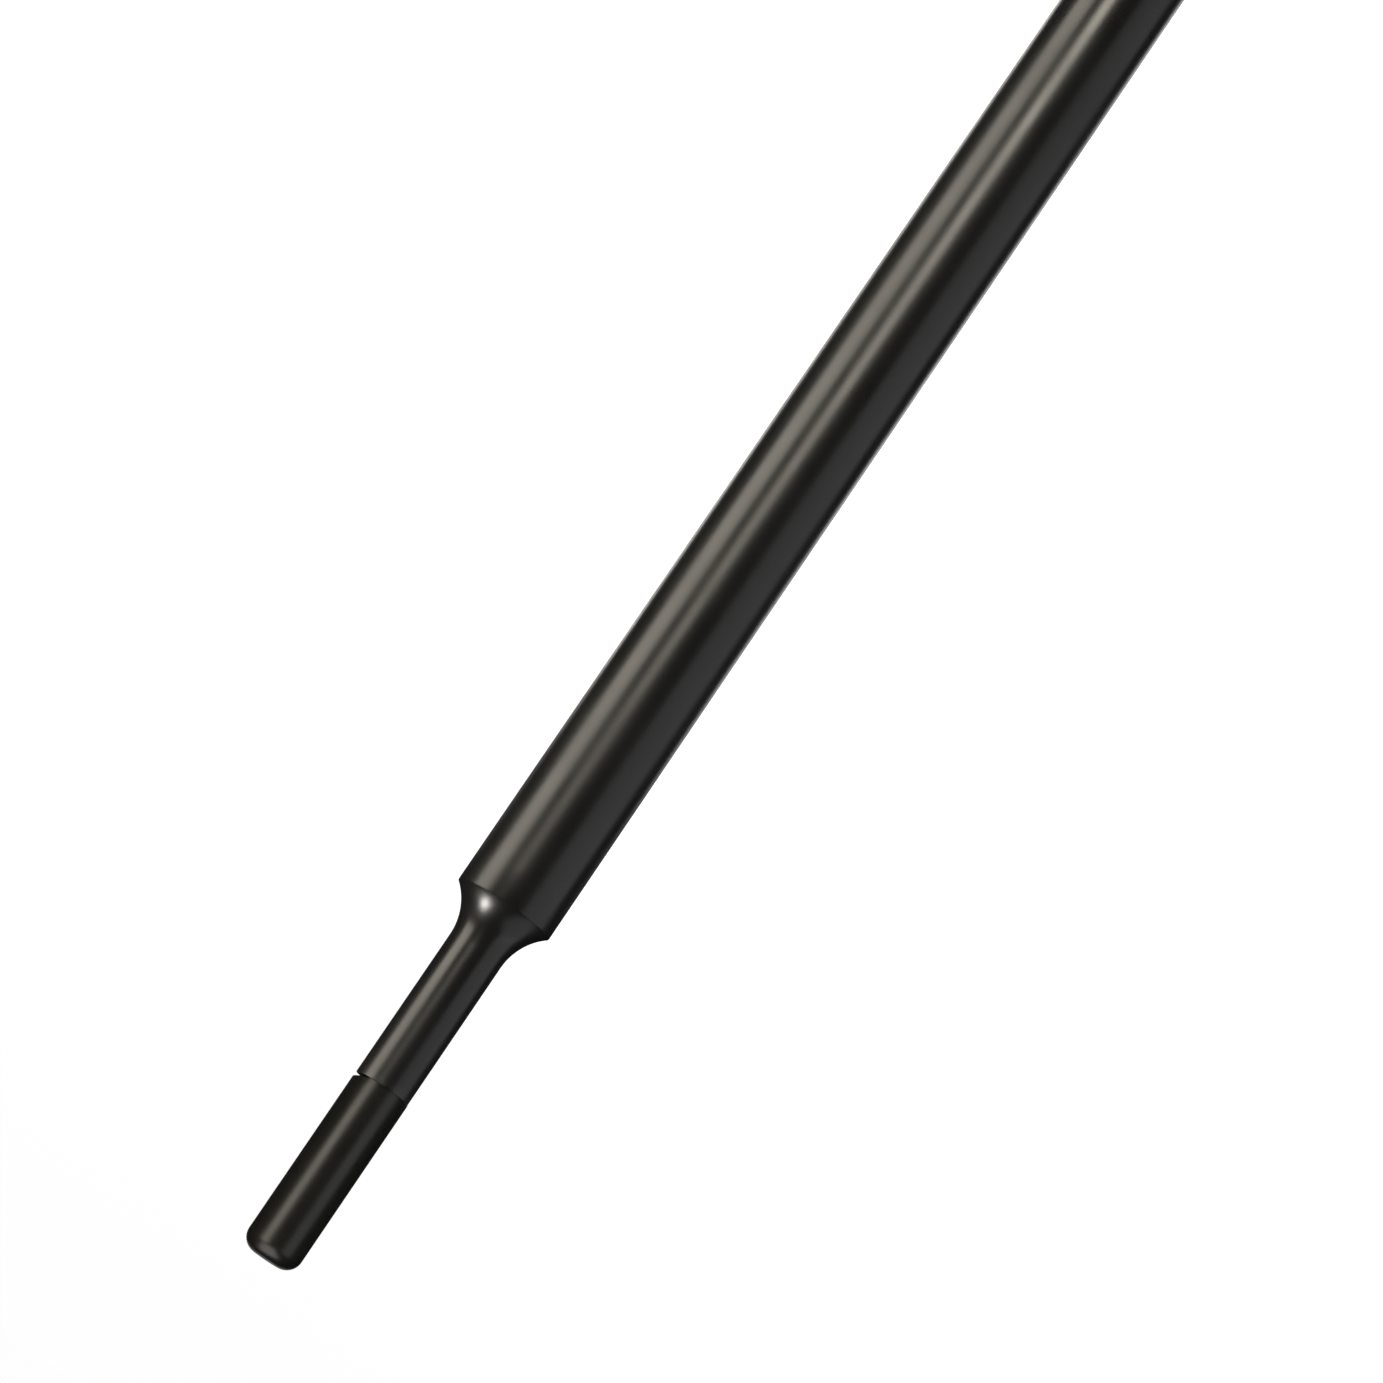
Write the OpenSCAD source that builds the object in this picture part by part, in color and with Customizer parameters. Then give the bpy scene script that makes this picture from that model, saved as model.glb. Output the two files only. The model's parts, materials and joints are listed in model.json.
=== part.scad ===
// Long-reach fuel sampler. A clear sample tube stands in a base cap, a screw-on strainer
// head closes its mouth, and a drain probe slides through the head's gland.
// Sizes are in millimetres, +Z is up, and the origin is the centre of the foot.

/* [Drain probe] */
// Diameter of the probe rod's bar stock
rod_d = 6.35; // [6.2:0.05:6.4]
// Length of the rod and its tip sleeve together
rod_len = 139.7; // [138:0.1:142]
// Length of the turned-down nose, from the shoulder to the end of the tip
nose_len = 24.4; // [20:0.1:30]
// Diameter of the nose's shank
shank_d = 3.56; // [3.2:0.01:4]
// Radius of the hollow fillet between the shoulder and the shank
fillet_r = 3.85; // [2:0.05:5]
// Outer diameter of the tip sleeve
tip_d = 3.61; // [3.3:0.01:4.1]
// Length of the tip sleeve
tip_len = 11.8; // [9:0.1:14]
// How far the tip stands above the gland nut with the probe pulled out
reach = 104; // [103:0.5:105]

/* [Sample tube] */
// Outer diameter of the clear tube
tube_d = 44.45; // [44:0.05:45]
// Wall thickness of the clear tube
tube_wall = 3.175; // [3:0.025:3.2]
// Length of the clear tube
tube_len = 101.6; // [95:0.1:120]

/* [Base] */
// Outer diameter of the base cap
base_d = 50.8; // [50:0.1:60]
// Height of the base cap's wall above the ground
base_h = 16; // [14:0.5:20]
// Number of grip flutes round the base cap
base_flutes = 24; // [12:1:30]

/* [Strainer head] */
// Outer diameter of the screw ring
screw_ring_d = 56; // [55:0.5:60]
// Number of grip flutes round the screw ring
screw_ring_flutes = 36; // [24:1:40]
// Pitch of the moulded thread between the collar and the screw ring
pitch = 3; // [2.8:0.1:3.2]
// Number of spokes that carry the hub
spokes = 4; // [3:1:5]
// Outer diameter of the gland nut
nut_d = 16; // [15.5:0.1:18]
// Number of grip flutes round the gland nut
nut_flutes = 24; // [16:1:24]

/* [Hidden] */

$fn = 96;
cut = 0.02;            // overlap that lets a cutter leave a clean face
bond = 0.03;           // glue line between bonded or pressed pieces
run = 0.05;            // running clearance on a radius
slack = 0.3;           // loose fit on a radius
flute_out = 0.45;      // share of a flute's radius by which its axis lies outside the disc
black = [0.05, 0.05, 0.055];
rubber = [0.09, 0.09, 0.09];
steel = [0.72, 0.72, 0.74];
natural = [0.86, 0.85, 0.8];

// Radii of the rod and the tube
rod_r = rod_d / 2;
tube_r = tube_d / 2;
bore_r = tube_r - tube_wall;

// Base cap: the foot ring stands proud of its underside
foot_proud = 0.6;
foot_groove = 1.4;
foot_inset = 4;
foot_w = 4;
base_r = base_d / 2;
foot_in_r = base_r - foot_inset - foot_w;
base_edge = 1.6;
base_flute_r = 1.1;
pocket_z = 5;
plug_z = 11;
dish_depth = 1.2;
dish_r = 15;
dish_floor_r = 1;
tube_top = pocket_z + tube_len;

// O-rings: section diameter, the groove's width, and its depth beyond the section
seal_d = 1.78;
seal_groove_w = 2.3;
seal_groove_gap = 0.02;
base_seal_z = 8;

// Neck collar, bonded round the mouth of the tube
collar_wall = 1.4;
collar_r = tube_r + collar_wall;
collar_h = 14;
collar_z = tube_top - collar_h;
collar_lip = 2;
collar_top = tube_top + collar_lip;
collar_flange_w = 2.6;
collar_flange_r = collar_r + collar_flange_w;
collar_flange_h = 2;
thread_h = 1.2;
thread_root_w = 1.6;
thread_crest_w = 0.8;
thread_turns = 2.2;
thread_gap = 0.4;
ring_turns = 1.5;
thread_lift = 2.2;
thread_z = collar_z + collar_flange_h + thread_lift;

// Gasket, spider flange and screw ring, stacked on the collar
gasket_t = 1.2;
flange_z = collar_top + gasket_t;
flange_t = 2.5;
flange_top = flange_z + flange_t;
flange_over = 1;
flange_r = collar_r + flange_over;
gasket_inset = 0.3;
screw_ring_r = screw_ring_d / 2;
screw_ring_lift = 0.8;
screw_ring_z = collar_z + collar_flange_h + screw_ring_lift;
screw_ring_roof = 2.6;
screw_ring_top = flange_top + screw_ring_roof;
screw_ring_edge = 1.2;
screw_ring_flute_r = 1.1;
mouth_step = 1.4;
mouth_r = bore_r + mouth_step;
mouth_chamfer = 1.2;
bead_grip = 0.4;
bead_h = 0.7;
bead_gap = 0.2;

// Spider: skirt, spokes and hub
skirt_gap = 0.25;
skirt_r = bore_r - skirt_gap;
skirt_wall = 1.2;
skirt_depth = 6;
skirt_z = flange_z - skirt_depth;
window_r = skirt_r - skirt_wall;
spoke_w = 3;
spoke_sink = 1;
hub_r = 7.5;
hub_drop = 5.6;
hub_z = tube_top - hub_drop;
hub_rise = 5;
hub_top = flange_top + hub_rise;
hub_fall = 0.8;
spigot_r = 6;
spigot_h = 7.5;
spigot_top = hub_top + spigot_h;
gland_bore_r = rod_r + run;
seal_groove_r = gland_bore_r + seal_d + seal_groove_gap;
seal_inset = 3.2;
lower_seal_z = hub_z + seal_inset;
upper_seal_z = hub_top - seal_inset;

// Strainer disc in the skirt's pocket, its holes as [row radius, count], and the clip below it
screen_t = 0.5;
screen_drop = 2;
screen_top = flange_z - screen_drop;
screen_slack = 1.2;
screen_gap = 0.1;
screen_pocket_step = 0.5;
screen_pocket_r = window_r + screen_pocket_step;
hole_r = 0.9;
hole_rows = [[10, 20], [12.4, 26], [14.8, 32]];
screen_clip_wire_r = 0.45;
screen_clip_mouth = 4;
screen_groove_h = 1;
screen_groove_depth = 0.25;
screen_groove_z = skirt_z + screen_groove_h;

// Collet and the cones that squeeze it
collet_wall = 0.8;
cone_spread = 0.95;
collet_small_r = rod_r + collet_wall;
collet_large_r = collet_small_r + cone_spread;
cone_h = 3;
collet_z = spigot_top - cone_h;
collet_waist = 0.4;
collet_slot = 0.8;

// Gland nut
nut_r = nut_d / 2;
nut_gap = 0.3;
nut_z = hub_top + nut_gap;
nut_roof = 5.5;
nut_top = spigot_top + nut_roof;
nut_edge = 0.9;
nut_flute_r = 0.6;
nut_pitch = 1.5;
nut_thread_h = 0.5;
nut_thread_gap = 0.1;
nut_thread_root_w = 0.8;
nut_thread_crest_w = 0.3;
nut_thread_z = hub_top + nut_pitch;
nut_bore_r = spigot_r + nut_thread_h + nut_thread_gap;
spigot_turns = 3;
nut_turns = 2.3;
nut_hole_gap = 0.25;
nut_hole_r = rod_r + nut_hole_gap;
nut_hole_chamfer = 0.6;

// Probe rod, from its lower end up to the tip
shank_r = shank_d / 2;
tip_top = nut_top + reach;
rod_z = tip_top - rod_len;
shoulder_z = tip_top - nose_len;
step_h = rod_r - shank_r;
fillet_len = sqrt(2 * fillet_r * step_h - step_h * step_h);
seam_z = tip_top - tip_len;
seam_gap = 0.005;
seam_nick = 0.3;
seam_nick_w = 0.9;
tip_pin_r = 1.15;
tip_end_wall = 1.5;
tip_pin_len = tip_len - tip_end_wall;
tip_pin_gap = 0.1;
tip_edge = 1;
rod_chamfer = 0.5;

// Stop clip and washer under the hub, bumper and its screw at the lower end
clip_t = 0.9;
clip_depth = 0.55;
clip_seat_r = rod_r - clip_depth;
clip_r = 4.9;
washer_t = 1;
washer_r = 5.4;
stop_gap = 0.2;
washer_z = hub_z - stop_gap - washer_t;
clip_z = washer_z - clip_t;
bumper_r = 4.2;
bumper_h = 3.6;
bumper_edge = 0.8;
screw_r = 1.25;
screw_len = 8;
screw_hole_len = 7;
screw_fit = 0.02;
screw_head_r = 2.4;
screw_head_h = 1.6;
screw_slot_w = 0.6;
head_sink = 0.6;

// A plain ring standing on z = 0
module ring(r_out, r_in, h) {
    difference() {
        cylinder(r = r_out, h = h);
        translate([0, 0, -cut]) cylinder(r = r_in, h = h + 2 * cut);
    }
}

// Half-section of a disc whose outer edges are rounded
module rounded_section(r, h, edge) {
    square([r - edge, h]);
    translate([0, edge]) square([r, h - 2 * edge]);
    for (y = [edge, h - edge]) translate([r - edge, y]) circle(edge);
}

// A disc with rounded edges and grip flutes cut down its side
module fluted_disc(r, h, edge, count, flute_r) {
    difference() {
        rotate_extrude() rounded_section(r, h, edge);
        for (i = [0 : count - 1])
            rotate([0, 0, i * 360 / count])
                translate([r + flute_r * flute_out, 0, -cut])
                    cylinder(r = flute_r, h = h + 2 * cut, $fn = 24);
    }
}

// An O-ring of the given inner radius, centred on z = 0
module o_ring(r_in) {
    rotate_extrude() translate([r_in + seal_d / 2, 0]) circle(d = seal_d, $fn = 32);
}

// Helical ridge of trapezoid section. Its root is sunk into the wall it grows from, and it
// rises from almost nothing and dies away over a ninth of a turn at each end.
module thread_ridge(root_r, crest_r, root_w, crest_w, lead, turns) {
    steps = 36;
    lead_in = steps / 9;
    sink = 0.3;
    lowest = 0.1;
    count = round(turns * steps);
    outward = crest_r > root_r;
    sunk_r = root_r + (outward ? -sink : sink);
    function rise(i) = max(lowest, min(1, i / lead_in, (count - i) / lead_in));
    function section(r) = [[sunk_r, -root_w / 2], [r, -crest_w / 2], [r, crest_w / 2], [sunk_r, root_w / 2]];
    function turn(p, i) = [p[0] * cos(i * 360 / steps), p[0] * sin(i * 360 / steps), p[1] + lead * i / steps];
    points = [for (i = [0 : count]) for (p = section(root_r + (crest_r - root_r) * rise(i))) turn(p, i)];
    sides = [for (i = [0 : count - 1]) for (k = [0 : 3])
        let (a = 4 * i + k, b = 4 * i + (k + 1) % 4) each [[a, b, b + 4], [a, b + 4, a + 4]]];
    last = 4 * count;
    caps = [[3, 2, 1], [3, 1, 0], [last, last + 1, last + 2], [last, last + 2, last + 3]];
    faces = concat(sides, caps);
    polyhedron(points, outward ? faces : [for (f = faces) [f[2], f[1], f[0]]]);
}

module sample_tube() {
    color([0.85, 0.93, 0.96, 0.35])
        translate([0, 0, pocket_z]) ring(tube_r, bore_r, tube_len);
}

// Cup-shaped cap: the tube stands in an annular pocket round a sealed plug
module base_cap() {
    plug_r = bore_r - bond;
    color(black) difference() {
        translate([0, 0, foot_proud])
            fluted_disc(base_r, base_h - foot_proud, base_edge, base_flutes, base_flute_r);
        translate([0, 0, pocket_z]) ring(tube_r + bond, plug_r, base_h);
        translate([0, 0, plug_z]) cylinder(r = tube_r, h = base_h);
        translate([0, 0, plug_z - dish_depth])
            cylinder(r1 = dish_floor_r, r2 = dish_r, h = dish_depth + cut);
        translate([0, 0, base_seal_z - seal_groove_w / 2])
            ring(plug_r + cut, bore_r - seal_d - run, seal_groove_w);
        translate([0, 0, -cut]) ring(base_r - foot_inset, foot_in_r, foot_proud + foot_groove + cut);
    }
}

module base_seal() {
    color(rubber) translate([0, 0, base_seal_z]) o_ring(bore_r - bond - seal_d);
}

module foot_ring() {
    color(rubber) ring(base_r - foot_inset - bond, foot_in_r + bond, foot_proud + foot_groove);
}

// Threaded collar with a lip over the end of the tube
module neck_collar() {
    color(black) difference() {
        union() {
            translate([0, 0, collar_z]) cylinder(r = collar_r, h = collar_top - collar_z);
            translate([0, 0, collar_z]) cylinder(r = collar_flange_r, h = collar_flange_h);
            translate([0, 0, thread_z])
                thread_ridge(collar_r, collar_r + thread_h, thread_root_w, thread_crest_w,
                             pitch, thread_turns);
        }
        translate([0, 0, collar_z - cut]) cylinder(r = tube_r + bond, h = tube_top - collar_z + cut);
        translate([0, 0, collar_z]) cylinder(r = bore_r, h = collar_top);
    }
}

// Knurled ring: its thread runs between the collar's turns, and its bead holds the spider captive
module screw_ring() {
    height = screw_ring_top - screw_ring_z;
    inner_r = collar_r + thread_h + thread_gap;
    recess_z = flange_z - bead_gap;
    color(black) {
        difference() {
            translate([0, 0, screw_ring_z])
                fluted_disc(screw_ring_r, height, screw_ring_edge, screw_ring_flutes, screw_ring_flute_r);
            translate([0, 0, screw_ring_z - cut])
                cylinder(r = inner_r, h = recess_z - bead_h - screw_ring_z + cut);
            translate([0, 0, screw_ring_z]) cylinder(r = flange_r - bead_grip, h = flange_z - screw_ring_z);
            translate([0, 0, recess_z]) cylinder(r = flange_r + slack, h = bead_gap + flange_t + run);
            translate([0, 0, screw_ring_z]) cylinder(r = mouth_r, h = height + cut);
            translate([0, 0, screw_ring_top - mouth_chamfer])
                cylinder(r1 = mouth_r, r2 = mouth_r + mouth_chamfer, h = mouth_chamfer + cut);
        }
        translate([0, 0, thread_z + pitch / 2])
            thread_ridge(inner_r, collar_r + thread_gap, thread_root_w, thread_crest_w, pitch, ring_turns);
    }
}

// One spoke: a fin that falls from the hub to the flange
module spoke() {
    rotate([90, 0, 0]) translate([0, 0, -spoke_w / 2]) linear_extrude(spoke_w)
        polygon([[hub_r - spoke_sink, screen_top], [window_r + spoke_sink, screen_top],
                 [window_r + spoke_sink, flange_top], [hub_r - spoke_sink, hub_top - hub_fall]]);
}

// Flange and skirt that seat on the gasket, spokes, and the hub with the gland's spigot
module spider() {
    color(black) difference() {
        union() {
            translate([0, 0, flange_z]) ring(flange_r, window_r, flange_t);
            translate([0, 0, skirt_z]) ring(skirt_r, window_r, flange_top - skirt_z);
            translate([0, 0, hub_z]) cylinder(r = hub_r, h = hub_top - hub_z);
            translate([0, 0, hub_z]) cylinder(r = spigot_r, h = spigot_top - hub_z);
            for (i = [0 : spokes - 1]) rotate([0, 0, 180 / spokes + i * 360 / spokes]) spoke();
            translate([0, 0, nut_thread_z])
                thread_ridge(spigot_r, spigot_r + nut_thread_h, nut_thread_root_w, nut_thread_crest_w,
                             nut_pitch, spigot_turns);
        }
        translate([0, 0, hub_z - cut]) cylinder(r = gland_bore_r, h = spigot_top);
        for (z = [lower_seal_z, upper_seal_z])
            translate([0, 0, z - seal_groove_w / 2]) cylinder(r = seal_groove_r, h = seal_groove_w);
        translate([0, 0, collet_z])
            cylinder(r1 = collet_small_r + run, r2 = collet_large_r + run, h = cone_h + cut);
        translate([0, 0, screen_groove_z])
            ring(screen_pocket_r + screen_groove_depth, window_r - cut, screen_groove_h);
        translate([0, 0, screen_top - screen_t - screen_slack])
            ring(screen_pocket_r, window_r - cut, screen_t + screen_slack);
    }
}

module rim_gasket() {
    color(rubber) translate([0, 0, collar_top])
        ring(collar_r - gasket_inset, skirt_r + gasket_inset, gasket_t);
}

// Perforated strainer disc that lies against the underside of the spokes
module strainer_screen() {
    color(steel) translate([0, 0, screen_top - screen_t]) difference() {
        ring(screen_pocket_r - bond, hub_r + screen_gap, screen_t);
        for (row = hole_rows) for (i = [0 : row[1] - 1])
            rotate([0, 0, i * 360 / row[1]]) translate([row[0], 0, -cut])
                cylinder(r = hole_r, h = screen_t + 2 * cut, $fn = 16);
    }
}

// Open wire ring that snaps into the skirt's groove and holds the screen up
module screen_clip() {
    color(steel) difference() {
        translate([0, 0, screen_groove_z + screen_groove_h / 2]) rotate_extrude()
            translate([screen_pocket_r + screen_groove_depth - screen_groove_h / 2, 0])
                circle(r = screen_clip_wire_r, $fn = 24);
        translate([0, -screen_clip_mouth / 2, skirt_z])
            cube([skirt_r, screen_clip_mouth, screen_groove_z + screen_groove_h - skirt_z]);
    }
}

module gland_seal_lower() {
    color(rubber) translate([0, 0, lower_seal_z]) o_ring(rod_r + run);
}

module gland_seal_upper() {
    color(rubber) translate([0, 0, upper_seal_z]) o_ring(rod_r + run);
}

// Split bush with a cone at each end
module collet() {
    color(natural) translate([0, 0, collet_z]) difference() {
        union() {
            cylinder(r1 = collet_small_r, r2 = collet_large_r, h = cone_h);
            translate([0, 0, cone_h]) cylinder(r = collet_large_r, h = collet_waist);
            translate([0, 0, cone_h + collet_waist])
                cylinder(r1 = collet_large_r, r2 = collet_small_r, h = cone_h);
        }
        translate([0, 0, -cut]) cylinder(r = rod_r + run, h = 3 * cone_h);
        for (a = [0, 90]) rotate([0, 0, a])
            translate([-nut_r, -collet_slot / 2, cone_h / 2]) cube([nut_d, collet_slot, 2 * cone_h]);
    }
}

// Nut that closes the collet on the rod as it is tightened
module gland_nut() {
    cone_z = spigot_top + collet_waist;
    color(black) {
        difference() {
            translate([0, 0, nut_z]) fluted_disc(nut_r, nut_top - nut_z, nut_edge, nut_flutes, nut_flute_r);
            translate([0, 0, nut_z - cut]) cylinder(r = nut_bore_r, h = spigot_top - nut_z + 2 * run);
            translate([0, 0, spigot_top]) cylinder(r = collet_large_r + run, h = collet_waist + cut);
            translate([0, 0, cone_z])
                cylinder(r1 = collet_large_r + run, r2 = collet_small_r + run, h = cone_h + run);
            translate([0, 0, cone_z]) cylinder(r = nut_hole_r, h = reach);
            translate([0, 0, nut_top - nut_hole_chamfer])
                cylinder(r1 = nut_hole_r, r2 = nut_hole_r + nut_hole_chamfer, h = nut_hole_chamfer + cut);
        }
        translate([0, 0, nut_thread_z + nut_pitch / 2])
            thread_ridge(nut_bore_r, spigot_r + nut_thread_gap, nut_thread_root_w, nut_thread_crest_w,
                         nut_pitch, nut_turns);
    }
}

// Bar turned down to a shank, with a hollow fillet under the shoulder and a pin for the sleeve
module probe_rod() {
    color(black) difference() {
        union() {
            translate([0, 0, rod_z]) cylinder(r1 = rod_r - rod_chamfer, r2 = rod_r, h = rod_chamfer);
            translate([0, 0, rod_z + rod_chamfer]) cylinder(r = rod_r, h = shoulder_z - rod_z - rod_chamfer);
            translate([0, 0, shoulder_z]) rotate_extrude() difference() {
                square([rod_r, fillet_len]);
                translate([shank_r + fillet_r, fillet_len]) circle(fillet_r);
            }
            translate([0, 0, shoulder_z]) cylinder(r = shank_r, h = seam_z - shoulder_z);
            translate([0, 0, shoulder_z]) cylinder(r = tip_pin_r, h = seam_z + tip_pin_len - shoulder_z);
        }
        translate([0, 0, clip_z]) ring(rod_r + cut, clip_seat_r, clip_t);
        translate([0, 0, rod_z - cut]) cylinder(r = screw_r + screw_fit, h = screw_hole_len + cut);
    }
}

// Closed sleeve pressed over the rod's pin and rounded at its end. A nick on one side of its
// mouth leaves the seam with the shank a little open there.
module probe_tip() {
    tip_r = tip_d / 2;
    sleeve_len = tip_len - seam_gap;
    slope = atan(seam_nick / seam_nick_w);
    color([0.04, 0.04, 0.04]) translate([0, 0, seam_z + seam_gap]) difference() {
        rotate_extrude() difference() {
            union() {
                square([tip_r, sleeve_len - tip_edge]);
                square([tip_r - tip_edge, sleeve_len]);
                translate([tip_r - tip_edge, sleeve_len - tip_edge])
                    intersection() { circle(tip_edge); square(tip_edge); }
            }
            square([tip_pin_r + bond, tip_pin_len + tip_pin_gap]);
        }
        translate([tip_r - seam_nick_w, 0, 0]) rotate([0, -slope, 0])
            translate([0, -tip_d, -tip_len]) cube([tip_d, 2 * tip_d, tip_len]);
    }
}

// Loose washer that bears on the underside of the hub
module stop_washer() {
    color(natural) translate([0, 0, washer_z]) ring(washer_r, rod_r + run, washer_t);
}

// Open retaining ring in the rod's groove
module stop_clip() {
    color(steel) translate([0, 0, clip_z]) difference() {
        ring(clip_r, clip_seat_r + bond, clip_t);
        translate([0, -clip_seat_r, -cut]) cube([clip_r + cut, 2 * clip_seat_r, clip_t + 2 * cut]);
    }
}

// Rubber buffer under the rod, with a pocket for its screw's head
module rod_bumper() {
    color(rubber) difference() {
        translate([0, 0, rod_z - bumper_h]) rotate_extrude() rounded_section(bumper_r, bumper_h, bumper_edge);
        translate([0, 0, rod_z - bumper_h - cut])
            cylinder(r = screw_head_r + slack, h = screw_head_h + head_sink + cut);
        translate([0, 0, rod_z - bumper_h]) cylinder(r = screw_r + screw_fit, h = bumper_h + cut);
    }
}

// Cross-slotted pan screw
module bumper_screw() {
    head_z = rod_z - bumper_h + head_sink;
    color(steel) difference() {
        union() {
            translate([0, 0, head_z]) cylinder(r = screw_head_r, h = screw_head_h);
            translate([0, 0, head_z]) cylinder(r = screw_r, h = screw_len);
        }
        for (a = [0, 90]) rotate([0, 0, a])
            translate([-screw_r, -screw_slot_w / 2, head_z - cut])
                cube([2 * screw_r, screw_slot_w, screw_head_h / 2]);
    }
}

sample_tube();
base_cap();
base_seal();
foot_ring();
neck_collar();
screw_ring();
spider();
rim_gasket();
strainer_screen();
screen_clip();
gland_seal_lower();
gland_seal_upper();
collet();
gland_nut();
probe_rod();
probe_tip();
stop_washer();
stop_clip();
rod_bumper();
bumper_screw();
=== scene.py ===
import bpy, bmesh, json, math
from mathutils import Matrix, Vector


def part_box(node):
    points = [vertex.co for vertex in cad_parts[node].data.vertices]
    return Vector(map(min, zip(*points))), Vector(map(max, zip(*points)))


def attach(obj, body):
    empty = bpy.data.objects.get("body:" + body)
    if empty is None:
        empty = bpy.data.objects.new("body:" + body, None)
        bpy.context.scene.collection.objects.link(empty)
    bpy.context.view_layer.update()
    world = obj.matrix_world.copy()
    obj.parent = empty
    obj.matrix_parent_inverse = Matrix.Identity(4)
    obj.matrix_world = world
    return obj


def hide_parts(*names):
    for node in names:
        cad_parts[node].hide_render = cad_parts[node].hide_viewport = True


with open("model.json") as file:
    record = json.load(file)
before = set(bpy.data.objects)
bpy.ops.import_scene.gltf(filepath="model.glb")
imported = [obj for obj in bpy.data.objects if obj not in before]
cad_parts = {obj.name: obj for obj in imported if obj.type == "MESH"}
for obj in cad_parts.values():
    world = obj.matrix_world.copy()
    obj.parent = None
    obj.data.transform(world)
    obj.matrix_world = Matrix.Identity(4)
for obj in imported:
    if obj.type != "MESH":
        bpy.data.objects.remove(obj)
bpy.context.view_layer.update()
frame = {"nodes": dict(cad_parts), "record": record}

MM = 0.001
TAU = 2 * math.pi
BODY_OF = {n: b for b, ns in frame["record"]["behaviour"]["bodies"].items() for n in ns}
SLOT_OF = {s["node"]: s["material_slot"] for s in frame["record"]["subparts"]}


def span(node):
    """Lowest and highest z of a CAD node, and its radius, in millimetres."""
    lo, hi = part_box(node)
    return lo.z / MM, hi.z / MM, max(hi.x, hi.y) / MM


# ---------------------------------------------------------------- sizes, in millimetres
# Heights and outer radii, read from the frame
rod_z, _, rod_r = span("probe_rod")
sleeve_z, tip_top, tip_r = span("probe_tip")
clip_z, clip_top, _ = span("stop_clip")
bump_z, bump_top, bump_r = span("rod_bumper")
tube_z, tube_top, tube_r = span("sample_tube")
base_z, base_top, _ = span("base_cap")
seal_z, seal_top, _ = span("base_seal")
foot_z, foot_top, foot_r = span("foot_ring")
collar_z, collar_top, collar_flange_r = span("neck_collar")
ring_z, ring_top, _ = span("screw_ring")
_, flange_z, _ = span("rim_gasket")
hub_z, spigot_top, flange_r = span("spider")
screen_z, screen_top, screen_r = span("strainer_screen")
nut_z, nut_top, _ = span("gland_nut")

# Fits: the gap of a glued or pressed joint, and of a running one, on a radius
glue, run = 0.03, 0.05

# Probe: the turned nose, the pin inside the sleeve, and the hole for the bumper's screw
nose_len, tip_len = 24.4, 11.8
shoulder_z, seam_z = tip_top - nose_len, tip_top - tip_len
shank_r, fillet_r, tip_edge = 1.78, 3.85, 1.0
pin_r, pin_len = 1.15, 10.3
nick_h, nick_w = 0.3, 0.9
screw_hole_r, screw_hole_len = 1.27, 7.0
screw_head_r = 2.7

# Cup
tube_wall = 3.175
bore_r = tube_r - tube_wall
floor_z = 11.0
base_r, base_edge = 25.4, 1.6
foot_w = 3.94
collar_r = collar_flange_r - 2.6
collar_flange_h = 2.0

# Ring and head
ring_r, ring_edge = 28.0, 1.2
flange_top = flange_z + 2.5
hub_r, spigot_r = 7.5, 6.0
hub_top = spigot_top - 7.5
gland_r = rod_r + run
spokes = 4
nut_r, nut_edge = 8.0, 0.9
cone_wide, cone_narrow = 1.8, 0.85

# Threads: pitch, height, and width at the root and the crest
pitch, thread_h, root_w, crest_w = 3.0, 1.2, 1.6, 0.8
nut_pitch, nut_thread_h, nut_root_w, nut_crest_w = 1.5, 0.5, 0.8, 0.3

# O-rings: section, room each side of the base's, and the gland's two grooves
seal_d, seal_room = 1.78, 0.26
gland_groove_w, gland_groove_h, gland_groove_inset = 2.3, 1.8, 3.2


# ---------------------------------------------------------------- mesh code
def finish_mesh(name, bm, smooth_deg=32):
    """Turns a bmesh into a mesh that is smooth, apart from edges over smooth_deg."""
    bmesh.ops.remove_doubles(bm, verts=bm.verts, dist=1e-8)
    bmesh.ops.recalc_face_normals(bm, faces=bm.faces)
    limit = math.radians(smooth_deg)
    for f in bm.faces:
        f.smooth = True
    for e in bm.edges:
        e.smooth = len(e.link_faces) == 2 and e.calc_face_angle(0.0) < limit
    me = bpy.data.meshes.new(name)
    bm.to_mesh(me)
    bm.free()
    return me


def arc(cr, cz, r, a0, a1, n):
    """Points of an arc in the (radius, z) half-plane, angles in degrees from +r."""
    return [(cr + r * math.cos(math.radians(a0 + (a1 - a0) * i / n)),
             cz + r * math.sin(math.radians(a0 + (a1 - a0) * i / n))) for i in range(n + 1)]


def dense(p, q, step):
    """Points from p to q, about step apart, without q."""
    n = max(1, round(math.dist(p, q) / step))
    return [(p[0] + (q[0] - p[0]) * i / n, p[1] + (q[1] - p[1]) * i / n) for i in range(n)]


def lathe_into(bm, prof, seg=160, warp=None, closed=True):
    """Turns a profile of (radius, z) points in millimetres about Z. warp(r, z, angle) may move a point."""
    rings = []
    for r, z in prof:
        if r < 1e-6:
            rings.append([bm.verts.new((0, 0, z * MM))] * seg)
            continue
        row = []
        for k in range(seg):
            th = TAU * k / seg
            rr, zz = warp(r, z, th) if warp else (r, z)
            row.append(bm.verts.new((rr * math.cos(th) * MM, rr * math.sin(th) * MM, zz * MM)))
        rings.append(row)
    pairs = [(i, i + 1) for i in range(len(rings) - 1)]
    if closed:
        pairs.append((len(rings) - 1, 0))
    for i, j in pairs:
        a, b = rings[i], rings[j]
        for k in range(seg):
            m = (k + 1) % seg
            quad = []
            for v in (a[k], a[m], b[m], b[k]):
                if v not in quad:
                    quad.append(v)
            if len(quad) >= 3:
                bm.faces.new(quad)


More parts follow.
